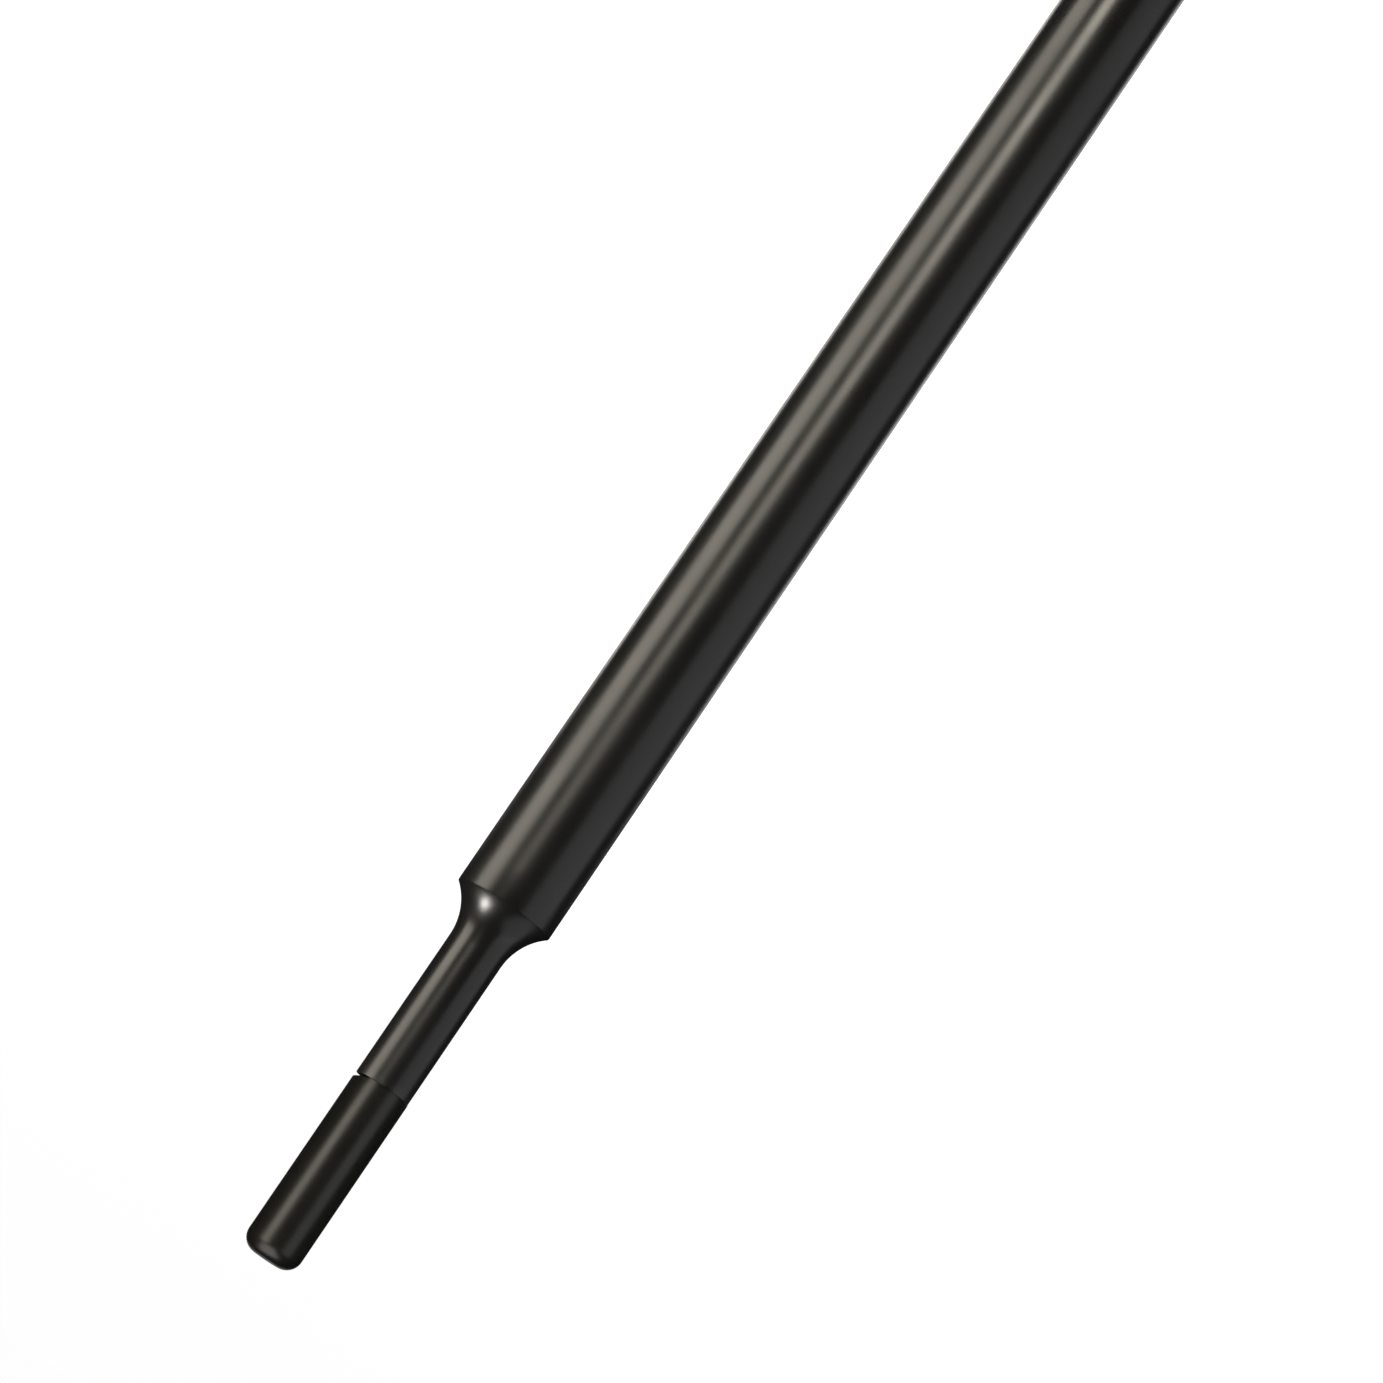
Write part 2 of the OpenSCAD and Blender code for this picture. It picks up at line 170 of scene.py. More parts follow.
def rounded_side(r, z0, z1, edge, n, step=None):
    """Profile points up the side of a disc from z0 to z1, with both its corners rounded."""
    side = dense((r, z0 + edge + 0.1), (r, z1 - edge), step) if step else []
    return arc(r - edge, z0 + edge, edge, -90, 0, n) + side + arc(r - edge, z1 - edge, edge, 0, 90, n)


def seal_groove(wall_r, bottom_r, low, high):
    """Profile points of an O-ring's groove, from its upper edge down."""
    return [(wall_r, high), (bottom_r, high), (bottom_r, low), (wall_r, low)]


def lathe(name, prof, seg=160, warp=None, closed=True, smooth_deg=32):
    """A turned mesh of its own."""
    bm = bmesh.new()
    lathe_into(bm, prof, seg, warp, closed)
    return finish_mesh(name, bm, smooth_deg)


def flutes(count, r, fr, soft=0.14):
    """Scallops of radius fr down the side of a disc of radius r, with softened ridges."""
    cr = r + 0.45 * fr
    pitch = TAU / count

    def warp(pr, z, th):
        d = (th + pitch / 2) % pitch - pitch / 2
        x = abs(r * d)
        cut = cr - math.sqrt(max(fr * fr - x * x, 0.0)) if x < fr else cr + (x - fr) * 2
        if cut > pr + 4 * soft:
            return pr, z
        h = max(0.0, min(1.0, 0.5 + 0.5 * (cut - pr) / soft))
        return pr * h + cut * (1 - h) - soft * h * (1 - h), z

    return warp


def ridge(z0, pitch, turns, root_w, crest_w):
    """How far a point is up a helical thread ridge, from 0 at the root to 1 at the crest."""

    def rise(z, th):
        t = (z - z0) / pitch - th / TAU
        k = round(t)
        u = k + th / TAU
        if u < 0 or u > turns:
            return 0.0
        d = abs(t - k) * pitch
        f = 1 - max(0.0, d - crest_w / 2) / (root_w / 2 - crest_w / 2)
        return max(0.0, min(1.0, f)) * max(0.1, min(1.0, u * 9, (turns - u) * 9))

    return rise


def piece(name, me, material, node=None, body=None):
    """A visible piece: it replaces a CAD node, or rides the body given."""
    ob = bpy.data.objects.new(name, me)
    bpy.context.scene.collection.objects.link(ob)
    me.materials.clear()
    me.materials.append(material)
    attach(ob, body or BODY_OF[node])
    if node:
        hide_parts(node)
    return ob


# ---------------------------------------------------------------- materials
class Nodes:
    """A material's node tree, with short ways to add noise, ramps, wear and bump."""

    def __init__(self, name):
        self.m = bpy.data.materials.new(name)
        self.m.use_nodes = True
        self.t = self.m.node_tree
        self.p = self.t.nodes["Principled BSDF"]
        self.co = self.t.nodes.new("ShaderNodeTexCoord").outputs["Object"]

    def set(self, **kw):
        for k, v in kw.items():
            self.p.inputs[k.replace("_", " ")].default_value = v

    def link(self, a, b):
        self.t.links.new(a, b)

    def noise(self, scale, detail=3.0, rough=0.55, stretch=(1, 1, 1)):
        mp = self.t.nodes.new("ShaderNodeMapping")
        mp.inputs["Scale"].default_value = stretch
        self.link(self.co, mp.inputs["Vector"])
        n = self.t.nodes.new("ShaderNodeTexNoise")
        n.inputs["Scale"].default_value = scale
        n.inputs["Detail"].default_value = detail
        n.inputs["Roughness"].default_value = rough
        self.link(mp.outputs["Vector"], n.inputs["Vector"])
        return n.outputs["Fac"]

    def remap(self, src, lo, hi, a=0.3, b=0.7):
        r = self.t.nodes.new("ShaderNodeMapRange")
        r.inputs["From Min"].default_value = a
        r.inputs["From Max"].default_value = b
        r.inputs["To Min"].default_value = lo
        r.inputs["To Max"].default_value = hi
        self.link(src, r.inputs["Value"])
        return r.outputs["Result"]

    def math(self, op, a, b):
        n = self.t.nodes.new("ShaderNodeMath")
        n.operation = op
        for i, v in enumerate((a, b)):
            if isinstance(v, (int, float)):
                n.inputs[i].default_value = v
            else:
                self.link(v, n.inputs[i])
        return n.outputs[0]

    def mix(self, fac, c0, c1):
        n = self.t.nodes.new("ShaderNodeMix")
        n.data_type = "RGBA"
        self.link(fac, n.inputs["Factor"])
        for sock, c in ((n.inputs[6], c0), (n.inputs[7], c1)):
            if isinstance(c, (tuple, list)):
                sock.default_value = (*c, 1)
            else:
                self.link(c, sock)
        return n.outputs[2]

    def worn(self):
        """1 along sharp outer edges, broken up by noise."""
        g = self.t.nodes.new("ShaderNodeNewGeometry")
        edge = self.remap(g.outputs["Pointiness"], 0.0, 1.0, 0.53, 0.62)
        return self.math("MULTIPLY", edge, self.remap(self.noise(900, 4), 0.0, 1.0, 0.42, 0.62))

    def bump(self, height, strength, dist, under=None):
        b = self.t.nodes.new("ShaderNodeBump")
        b.inputs["Strength"].default_value = strength
        b.inputs["Distance"].default_value = dist * MM
        self.link(height, b.inputs["Height"])
        if under is not None:
            self.link(under, b.inputs["Normal"])
        self.link(b.outputs["Normal"], self.p.inputs["Normal"])
        return b.outputs["Normal"]


def black_anodised():
    k = Nodes("black_anodised")
    k.set(IOR=1.52)
    cloud = k.noise(120, 5, 0.6)
    k.link(k.mix(k.worn(), (0.0044, 0.0043, 0.0042), (0.045, 0.045, 0.046)), k.p.inputs["Base Color"])
    k.link(k.remap(cloud, 0.255, 0.35), k.p.inputs["Roughness"])
    turned = k.noise(1.0, 2, 0.5, (60, 60, 7000))
    b = k.bump(turned, 0.05, 0.01)
    k.bump(k.noise(4200, 3), 0.035, 0.01, b)
    return k.m


def tip_nylon():
    k = Nodes("tip_nylon")
    k.set(IOR=1.53)
    olive = k.mix(k.noise(700, 4), (0.0046, 0.0045, 0.0033), (0.0068, 0.0066, 0.0050))
    k.link(olive, k.p.inputs["Base Color"])
    k.link(k.remap(k.noise(260, 5, 0.6), 0.29, 0.36), k.p.inputs["Roughness"])
    b = k.bump(k.noise(5200, 3), 0.12, 0.01)
    k.bump(k.noise(1.0, 2, 0.5, (90, 90, 4200)), 0.06, 0.01, b)
    return k.m


def black_acetal():
    k = Nodes("black_acetal")
    k.set(IOR=1.48)
    tone = k.mix(k.noise(300, 5), (0.0153, 0.0153, 0.01564), (0.0204, 0.0204, 0.02074))
    k.link(k.mix(k.worn(), tone, (0.075, 0.075, 0.077)), k.p.inputs["Base Color"])
    k.link(k.remap(k.noise(140, 6, 0.65), 0.34, 0.46), k.p.inputs["Roughness"])
    b = k.bump(k.noise(1.0, 2, 0.5, (40, 40, 3600)), 0.10, 0.02)
    k.bump(k.noise(2600, 4), 0.10, 0.015, b)
    return k.m


def clear_acrylic():
    k = Nodes("clear_acrylic")
    k.set(IOR=1.49, Transmission_Weight=1.0, Base_Color=(0.985, 0.99, 0.99, 1))
    body = k.t.nodes.new("ShaderNodeVolumeAbsorption")
    body.inputs["Color"].default_value = (0.70, 0.78, 0.80, 1)
    body.inputs["Density"].default_value = 60.0
    k.link(body.outputs["Volume"], k.t.nodes["Material Output"].inputs["Volume"])
    haze = k.remap(k.noise(90, 6, 0.65), 0.012, 0.05, 0.35, 0.75)
    k.link(haze, k.p.inputs["Roughness"])
    k.bump(k.noise(1.0, 3, 0.5, (45, 45, 18)), 0.05, 0.05)
    return k.m


def rubber():
    k = Nodes("nitrile_rubber")
    k.set(IOR=1.5, Sheen_Weight=0.08)
    k.link(k.mix(k.noise(500, 6, 0.7), (0.02, 0.02, 0.021), (0.036, 0.036, 0.036)), k.p.inputs["Base Color"])
    k.link(k.remap(k.noise(350, 5), 0.62, 0.8), k.p.inputs["Roughness"])
    b = k.bump(k.noise(3600, 5, 0.7), 0.3, 0.03)
    k.bump(k.noise(500, 3), 0.15, 0.05, b)
    return k.m


def stainless():
    k = Nodes("stainless_steel")
    k.set(Metallic=1.0)
    k.link(k.mix(k.noise(260, 5), (0.50, 0.50, 0.495), (0.66, 0.655, 0.645)), k.p.inputs["Base Color"])
    k.link(k.remap(k.noise(600, 5, 0.65), 0.2, 0.36), k.p.inputs["Roughness"])
    k.bump(k.noise(1.0, 3, 0.6, (900, 9000, 900)), 0.08, 0.01)
    return k.m


def natural_acetal():
    k = Nodes("natural_acetal")
    k.set(IOR=1.48, Subsurface_Weight=0.15, Subsurface_Scale=0.001)
    k.link(k.mix(k.noise(240, 4), (0.74, 0.72, 0.66), (0.82, 0.8, 0.75)), k.p.inputs["Base Color"])
    k.link(k.remap(k.noise(300, 5), 0.36, 0.5), k.p.inputs["Roughness"])
    k.bump(k.noise(1.0, 2, 0.5, (50, 50, 4000)), 0.12, 0.02)
    return k.m


def ink():
    k = Nodes("graduation_ink")
    k.set(IOR=1.5)
    k.link(k.mix(k.noise(2500, 4), (0.02, 0.02, 0.021), (0.045, 0.045, 0.046)), k.p.inputs["Base Color"])
    k.link(k.remap(k.noise(900, 4), 0.45, 0.62), k.p.inputs["Roughness"])
    k.bump(k.noise(6000, 3), 0.2, 0.01)
    return k.m


M_ROD = black_anodised()
M_TIP = tip_nylon()
M_BLACK = black_acetal()
M_CLEAR = clear_acrylic()
M_RUBBER = rubber()
M_STEEL = stainless()
M_NATURAL = natural_acetal()
M_INK = ink()
BY_SLOT = {"clear_plastic": M_CLEAR, "black_plastic": M_BLACK, "black_anodised": M_ROD,
           "tip_plastic": M_TIP, "natural_plastic": M_NATURAL, "rubber": M_RUBBER, "steel": M_STEEL}
for node, ob in frame["nodes"].items():
    for s in ob.material_slots:
        s.material = BY_SLOT[SLOT_OF[node]]

# ---------------------------------------------------------------- probe rod and its tip sleeve
step = rod_r - shank_r
fil_len = math.sqrt(2 * fillet_r * step - step * step)
fil_end = 180 + math.degrees(math.asin(fil_len / fillet_r))
fil = arc(shank_r + fillet_r, shoulder_z + fil_len, fillet_r, fil_end, 180, 40)
seat_r = rod_r - 0.55
prof = [(0, rod_z + screw_hole_len), (screw_hole_r, rod_z + screw_hole_len)]
prof += [(screw_hole_r, rod_z + 0.15), (screw_hole_r + 0.15, rod_z)]
prof += [(rod_r - 0.5, rod_z)] + arc(rod_r - 0.5, rod_z + 0.5, 0.5, -90, 0, 8)
prof += dense((rod_r, rod_z + 0.5), (rod_r, clip_z - 0.05), 2.0)
prof += [(rod_r, clip_z), (seat_r, clip_z), (seat_r, clip_top), (rod_r, clip_top)]
prof += dense((rod_r, clip_top + 0.05), (rod_r, shoulder_z - 0.05), 2.0)
prof += [(rod_r, shoulder_z - 0.05), (rod_r - 0.012, shoulder_z - 0.012)]
prof += [(fil[0][0] - 0.02, fil[0][1] + 0.022)] + fil[2:]
prof += dense((shank_r, shoulder_z + fil_len + 0.05), (shank_r, seam_z - 0.03), 1.0)
prof += [(shank_r, seam_z - 0.01), (shank_r - 0.01, seam_z), (pin_r, seam_z)]
prof += [(pin_r, seam_z + pin_len - 0.1), (pin_r - 0.1, seam_z + pin_len), (0, seam_z + pin_len)]
turned = lathe("probe_rod_turned", prof, 200, closed=False, smooth_deg=24)
ROD = piece("probe_rod_turned", turned, M_ROD, "probe_rod")


def mouth_warp(r, z, th):
    """The sleeve's mouth has a nick towards +X, which leaves the seam a little open there."""
    if z < sleeve_z + 0.2:
        return r, z + nick_h * max(0.0, (r * math.cos(th) - tip_r + nick_w) / nick_w)
    return r, z


hole_r, hole_top = pin_r + glue, seam_z + pin_len + 0.1
prof = [(0, hole_top), (hole_r, hole_top), (hole_r, sleeve_z + 0.03)]
prof += dense((hole_r + 0.03, sleeve_z), (tip_r - 0.02, sleeve_z), 0.08)
prof += [(tip_r - 0.02, sleeve_z), (tip_r - 0.005, sleeve_z + 0.01), (tip_r, sleeve_z + 0.03)]
prof += dense((tip_r, sleeve_z + 0.6), (tip_r, tip_top - tip_edge), 0.8)
prof += arc(tip_r - tip_edge, tip_top - tip_edge, tip_edge, 0, 90, 20)
prof += [((tip_r - tip_edge) / 2, tip_top), (0, tip_top)]
sleeve = lathe("probe_tip_sleeve", prof, 160, mouth_warp, closed=False)
TIP = piece("probe_tip_sleeve", sleeve, M_TIP, "probe_tip")

# ---------------------------------------------------------------- tube and its graduation marks
e = 0.35
prof = arc(tube_r - e, tube_top - e, e, 0, 90, 6) + arc(bore_r + e, tube_top - e, e, 90, 180, 6)
prof += dense((bore_r, tube_top - 2 * e), (bore_r, tube_z + e), 6.0)
prof += [(bore_r, tube_z + e), (bore_r + e, tube_z), (tube_r - e, tube_z), (tube_r, tube_z + e)]
prof += dense((tube_r, tube_z + 2 * e), (tube_r, tube_top - 2 * e), 6.0)
piece("sample_tube_clear", lathe("sample_tube_clear", prof, 192), M_CLEAR, "sample_tube")


def strip_into(bm, r, t, z, h, a0, a1):
    """A thin raised mark on the tube, from angle a0 to a1 in degrees."""
    n = max(3, round((a1 - a0) / 1.5))
    rows = []
    for i in range(n + 1):
        a = math.radians(a0 + (a1 - a0) * i / n)
        rows.append([bm.verts.new((q * math.cos(a) * MM, q * math.sin(a) * MM, (z + dz) * MM))
                     for q, dz in ((r, -h / 2), (r + t, -h / 2 + 0.02), (r + t, h / 2 - 0.02), (r, h / 2))])
    for a, b in zip(rows, rows[1:]):
        for i in range(4):
            j = (i + 1) % 4
            bm.faces.new((a[i], a[j], b[j], b[i]))
    bm.faces.new(rows[0])
    bm.faces.new(rows[-1][::-1])


bm = bmesh.new()
per_ml = 1000.0 / (math.pi * bore_r * bore_r)
mark_r, mark_t, mark_azimuth = tube_r + 0.004, 0.05, -66
for ml in range(8, 82, 2):
    z = floor_z + ml * per_ml
    half = 26 if ml % 20 == 0 else 17 if ml % 10 == 0 else 9
    h = 0.45 if ml % 10 == 0 else 0.3
    strip_into(bm, mark_r, mark_t, z, h, mark_azimuth - half, mark_azimuth + half)
line_z, line_top = base_top + 0.6, floor_z + 83 * per_ml
for a in (mark_azimuth - 30, mark_azimuth + 30):
    strip_into(bm, mark_r, mark_t, (line_z + line_top) / 2, line_top - line_z, a - 0.35, a + 0.35)
piece("graduation_marks", finish_mesh("graduation_marks", bm), M_INK, body="cup")

# ---------------------------------------------------------------- base cap and its foot
plug_r, pocket_r = bore_r - glue, tube_r + glue
foot_in_r = foot_r - foot_w
groove_in, groove_out = foot_in_r - glue, foot_r + glue
prof = [(0, base_z)] + dense((1, base_z), (groove_in - 0.13, base_z), 3.0)
prof += [(groove_in, base_z), (groove_in, foot_top), (groove_out, foot_top), (groove_out, base_z)]
prof += [(groove_out + 0.12, base_z)] + rounded_side(base_r, base_z, base_top, base_edge, 10, 1.2)
prof += [(tube_r + 0.35, base_top), (tube_r + 0.15, base_top - 0.06), (pocket_r, base_top - 0.3)]
prof += [(pocket_r, tube_z), (plug_r, tube_z)]
prof += seal_groove(plug_r, bore_r - seal_d - run, seal_z - seal_room, seal_top + seal_room)[::-1]
prof += [(plug_r, floor_z - 0.35), (bore_r - 0.35, floor_z)]
prof += [(15.3, floor_z), (14.7, floor_z - 0.05)] + dense((14.4, floor_z - 0.1), (1.2, floor_z - 1.15), 1.5)
prof += [(0, floor_z - 1.2)]
cap = lathe("base_cap_fluted", prof, 384, flutes(24, base_r, 1.1), closed=False)
piece("base_cap_fluted", cap, M_BLACK, "base_cap")

edge, tread_r = 0.5, foot_r - 2.2
prof = arc(foot_r - edge, foot_z + edge, edge, -90, 0, 6) + [(foot_r, foot_top), (foot_in_r, foot_top)]
prof += arc(foot_in_r + edge, foot_z + edge, edge, 180, 270, 6)
prof += [(tread_r - 0.4, foot_z), (tread_r - 0.2, foot_z + 0.3), (tread_r + 0.2, foot_z + 0.3)]
prof += [(tread_r + 0.4, foot_z)]
piece("foot_ring_moulded", lathe("foot_ring_moulded", prof, 160), M_RUBBER, "foot_ring")

# ---------------------------------------------------------------- neck collar with its thread
thread_z = collar_z + 4.2
outer = ridge(thread_z, pitch, 2.2, root_w, crest_w)


def collar_warp(r, z, th):
    if r > collar_r - 1e-4 and z > collar_z + 2.3:
        return r + thread_h * outer(z, th), z
    return r, z


lip_z = collar_z + collar_flange_h
prof = rounded_side(collar_flange_r, collar_z, lip_z, 0.4, 5)
prof += [(collar_r + 0.2, lip_z), (collar_r, lip_z + 0.2)]
prof += dense((collar_r, collar_z + 2.35), (collar_r, collar_top - 0.4), 0.12)
prof += arc(collar_r - 0.35, collar_top - 0.35, 0.35, 0, 90, 5)
prof += arc(bore_r + 0.35, collar_top - 0.35, 0.35, 90, 180, 5)
prof += [(bore_r, tube_top), (pocket_r, tube_top), (pocket_r, collar_z + 0.25), (tube_r + 0.25, collar_z)]
piece("neck_collar_threaded", lathe("neck_collar_threaded", prof, 216, collar_warp), M_BLACK, "neck_collar")

# ---------------------------------------------------------------- screw ring
inner_r = collar_r + 1.6
mouth_r = bore_r + 1.4
inner = ridge(thread_z + pitch / 2, pitch, 1.5, root_w, crest_w)
ring_flutes = flutes(36, ring_r, 1.1)
bead_z = flange_z - 0.9


def ring_warp(r, z, th):
    if abs(r - inner_r) < 1e-4 and z < bead_z - 0.2:
        return r - thread_h * inner(z, th), z
    return ring_flutes(r, z, th) if r > inner_r + 0.6 else (r, z)


prof = [(inner_r, ring_z + 0.3), (inner_r + 0.3, ring_z)]
prof += rounded_side(ring_r, ring_z, ring_top, ring_edge, 9, 1.2)
prof += dense((ring_r - ring_edge - 0.2, ring_top), (mouth_r + 1.35, ring_top), 1.0)
prof += [(mouth_r + 1.2, ring_top), (mouth_r + 1.1, ring_top - 0.06), (mouth_r + 0.05, ring_top - 1.12)]
prof += [(mouth_r, ring_top - 1.3), (mouth_r, flange_top + 0.2), (mouth_r + 0.15, flange_top + 0.05)]
prof += [(flange_r + 0.3, flange_top + 0.05), (flange_r + 0.3, flange_z - 0.2)]
prof += [(flange_r - 0.4, flange_z - 0.2), (flange_r - 0.4, bead_z), (inner_r, bead_z)]
prof += dense((inner_r, bead_z - 0.1), (inner_r, ring_z + 0.42), 0.14)
piece("screw_ring_fluted", lathe("screw_ring_fluted", prof, 432, ring_warp), M_BLACK, "screw_ring")

# ---------------------------------------------------------------- spider: flange, skirt, hub and spokes
skirt_r, skirt_z = bore_r - 0.25, flange_z - 6
window_r = skirt_r - 1.2
screen_pocket_r, clip_groove_r = window_r + 0.5, window_r + 0.75
bm = bmesh.new()
prof = [(window_r, skirt_z), (skirt_r - 0.3, skirt_z), (skirt_r, skirt_z + 0.5), (skirt_r, flange_z)]
prof += rounded_side(flange_r, flange_z, flange_top, 0.3, 4)
prof += [(window_r + 0.5, flange_top), (window_r + 0.15, flange_top - 0.1), (window_r, flange_top - 0.4)]
prof += [(window_r, screen_top), (screen_pocket_r, screen_top), (screen_pocket_r, screen_z - 1.2)]
prof += [(window_r, screen_z - 1.2), (window_r, skirt_z + 2), (clip_groove_r, skirt_z + 2)]
prof += [(clip_groove_r, skirt_z + 1), (window_r, skirt_z + 1), (window_r, skirt_z + 0.2)]
lathe_into(bm, prof, 160)
male_z = hub_top + 1.5
male = ridge(male_z, nut_pitch, 3.0, nut_root_w, nut_crest_w)


def hub_warp(r, z, th):
    if abs(r - spigot_r) < 1e-4 and z > hub_top + 0.5:
        return r + nut_thread_h * male(z, th), z
    return r, z


prof = [(gland_r + 0.3, hub_z), (hub_r - 0.4, hub_z)] + arc(hub_r - 0.4, hub_z + 0.4, 0.4, -90, 0, 5)
prof += dense((hub_r, hub_z + 0.5), (hub_r, hub_top - 0.6), 1.5)
prof += arc(hub_r - 0.5, hub_top - 0.5, 0.5, 0, 90, 6)
prof += [(spigot_r + 0.25, hub_top), (spigot_r + 0.05, hub_top + 0.08), (spigot_r, hub_top + 0.3)]
prof += dense((spigot_r, hub_top + 0.55), (spigot_r, spigot_top - 0.5), 0.09)
prof += [(spigot_r, spigot_top - 0.5), (spigot_r - 0.4, spigot_top)]
prof += [(rod_r + cone_wide, spigot_top), (rod_r + cone_narrow, spigot_top - 3)]
half = gland_groove_w / 2
for z in (hub_top - gland_groove_inset, hub_z + gland_groove_inset):
    prof += seal_groove(gland_r, gland_r + gland_groove_h, z - half, z + half)
prof += [(gland_r, hub_z + 0.3)]
lathe_into(bm, prof, 144, hub_warp)


def fin_into(bm, angle):
    """One spoke: a fin lofted outwards from the hub, with a rounded upper edge."""
    x0, x1, x2, half, e, n = hub_r - 0.6, window_r - 0.3, window_r + 0.3, 1.5, 0.45, 26
    rows = []
    for i in range(n + 1):
        x = x0 + (x2 - x0) * i / n
        top = flange_top - 0.02 + (hub_top - 0.75 - flange_top) * max(0.0, (x1 - x) / (x1 - x0))
        side = [(half, screen_top + (top - e - screen_top) * k / 12) for k in range(1, 12)]
        loop = dense((-half, screen_top), (half, screen_top), 0.6) + [(half, screen_top)] + side
        loop += arc(half - e, top - e, e, 0, 90, 4) + dense((half - e, top), (e - half, top), 0.6)[1:]
        loop += arc(e - half, top - e, e, 90, 180, 4) + [(-y, z) for y, z in reversed(side)]
        c, sn = math.cos(angle), math.sin(angle)
        rows.append([bm.verts.new(((x * c - y * sn) * MM, (x * sn + y * c) * MM, z * MM)) for y, z in loop])
    for r0, r1 in zip(rows, rows[1:]):
        for k in range(len(r0)):
            j = (k + 1) % len(r0)
            bm.faces.new((r0[k], r0[j], r1[j], r1[k]))
    bm.faces.new(rows[0][::-1])
    bm.faces.new(rows[-1])


for i in range(spokes):
    fin_into(bm, math.pi / spokes + i * TAU / spokes)
piece("spider_moulded", finish_mesh("spider_moulded", bm), M_BLACK, "spider")

# ---------------------------------------------------------------- woven gauze under the perforated disc
bm = bmesh.new()


def wire_into(bm, pts, r, sides=6):
    """A round wire through a list of points, in millimetres."""
    rows = []
    for i, p in enumerate(pts):
        a, b = Vector(pts[max(0, i - 1)]), Vector(pts[min(len(pts) - 1, i + 1)])
        t = (b - a).normalized()
        u = t.cross(Vector((0, 0, 1))).normalized()
        v = u.cross(t)
        turns = [TAU * k / sides for k in range(sides)]
        around = [Vector(p) + (u * math.cos(w) + v * math.sin(w)) * r for w in turns]
        rows.append([bm.verts.new(q * MM) for q in around])
    for a, b in zip(rows, rows[1:]):
        for k in range(sides):
            m = (k + 1) % sides
            bm.faces.new((a[k], a[m], b[m], b[k]))
    bm.faces.new(rows[0][::-1])
    bm.faces.new(rows[-1])


wire_gap, wire_r, gauze_r = 0.9, 0.11, screen_r - 0.35
gauze_z = screen_z - 0.32
knot = wire_gap / 2
count = int(gauze_r / wire_gap)
for i in range(-count, count + 1):
    off = i * wire_gap
    reach = math.sqrt(max(gauze_r * gauze_r - off * off, 0.0))
    hole = math.sqrt(max((hub_r + 0.35) ** 2 - off * off, 0.0))
    for lo, hi in ([(-reach, -hole), (hole, reach)] if hole > 0 else [(-reach, reach)]):
        n0, n1 = math.ceil(lo / knot), math.floor(hi / knot)
        if n1 - n0 < 2:
            continue
        for axis in (0, 1):
            pts = []
            for k in range(n0, n1 + 1):
                wave = (-1) ** (i + k // 2 + axis) * wire_r * 0.95 if k % 2 == 0 else 0.0
                along, height = k * wire_gap / 2, gauze_z + wave
                pts.append((along, off, height) if axis == 0 else (off, along, height))
            wire_into(bm, pts, wire_r)
piece("strainer_gauze", finish_mesh("strainer_gauze", bm, 60), M_STEEL, body="head")

# ---------------------------------------------------------------- perforated disc
drain_r, drain_rows = 0.9, ((10.0, 20), (12.4, 26), (14.8, 32))
rim_r, eye_r, ease = screen_r, hub_r + 0.1, 0.05
bm = bmesh.new()
lathe_into(bm, [(rim_r, screen_z + ease), (rim_r, screen_top - ease), (rim_r - ease, screen_top),
                (eye_r + ease, screen_top), (eye_r, screen_top - ease), (eye_r, screen_z + ease),
                (eye_r + ease, screen_z), (rim_r - ease, screen_z)], 160)
disc = bpy.data.objects.new("disc_tmp", finish_mesh("disc_tmp", bm))
bpy.context.scene.collection.objects.link(disc)
bm = bmesh.new()
for row_r, n in drain_rows:
    for i in range(n):
        c = bmesh.ops.create_cone(bm, cap_ends=True, segments=28, radius1=drain_r * MM,
                                  radius2=drain_r * MM, depth=3 * MM)
        a = TAU * i / n
        at = Vector((row_r * math.cos(a), row_r * math.sin(a), screen_z)) * MM
        bmesh.ops.translate(bm, verts=c["verts"], vec=at)
drill = bpy.data.objects.new("drill_tmp", bpy.data.meshes.new("drill_tmp"))
bm.to_mesh(drill.data)
bm.free()
bpy.context.scene.collection.objects.link(drill)
mod = disc.modifiers.new("holes", "BOOLEAN")
mod.object = drill
mod.operation = "DIFFERENCE"
mod.solver = "EXACT"
dg = bpy.context.evaluated_depsgraph_get()
me = bpy.data.meshes.new_from_object(disc.evaluated_get(dg))
bpy.data.objects.remove(disc)
bpy.data.objects.remove(drill)
bm = bmesh.new()
bm.from_mesh(me)
for f in bm.faces:
    f.smooth = False
bm.to_mesh(me)
bm.free()
me.name = "strainer_disc"
piece("strainer_disc", me, M_STEEL, "strainer_screen")

# ---------------------------------------------------------------- gland nut
nut_bore = spigot_r + 0.6
female = ridge(male_z + nut_pitch / 2, nut_pitch, 2.3, nut_root_w, nut_crest_w)
nut_flutes = flutes(24, nut_r, 0.6, 0.08)


def nut_warp(r, z, th):
    if abs(r - nut_bore) < 1e-4 and z < spigot_top - 0.1:
        return r - nut_thread_h * female(z, th), z
    return nut_flutes(r, z, th) if r > nut_bore + 0.45 else (r, z)


